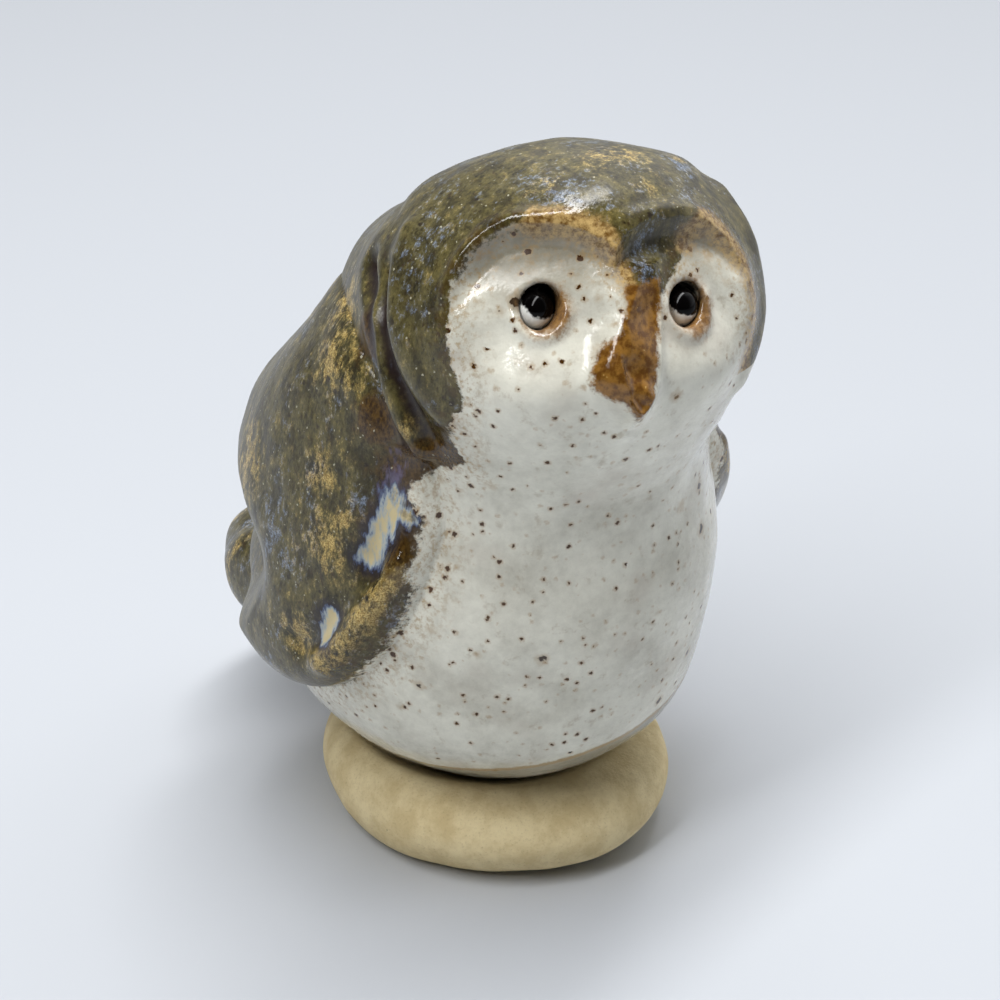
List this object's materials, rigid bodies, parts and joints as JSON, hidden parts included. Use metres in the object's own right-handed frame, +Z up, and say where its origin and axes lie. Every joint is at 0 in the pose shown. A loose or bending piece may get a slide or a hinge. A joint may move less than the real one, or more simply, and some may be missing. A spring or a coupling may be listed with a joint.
{
  "type": "owl figurine",
  "caption": "Hand-built stoneware owl figurine: plump hollow body on a round clay foot, head turned and tipped up, pressed-on beak, wings and fan tail, glazed face and back.",
  "frame": {"origin": "on the flat underside of the foot pad, on the body's own middle plane", "axes": "+Z up, the owl faces -Y, its right wing is on the -X side"},
  "size_m": [0.0326, 0.0461, 0.0507],
  "materials": {
    "raw_stoneware": "matte bare buff clay with a few grey specks",
    "white_glaze": "glossy warm white glaze with brown-black iron specks, running to olive and blue on the hood and back",
    "olive_glaze": "glossy olive-brown glaze with gold and blue-grey runs",
    "brown_glaze": "glossy amber-brown glaze with dark specks",
    "black_glass": "black glass-like glaze pooled in the eye"
  },
  "bodies": {
    "root": {"base_pad": "raw_stoneware", "body_shell": "white_glaze", "head": "white_glaze", "beak": "brown_glaze", "right_wing": "olive_glaze", "left_wing": "olive_glaze", "tail": "olive_glaze", "right_shoulder_roll": "olive_glaze", "left_shoulder_roll": "olive_glaze", "right_eye": "black_glass", "left_eye": "black_glass"}
  },
  "joints": []
}
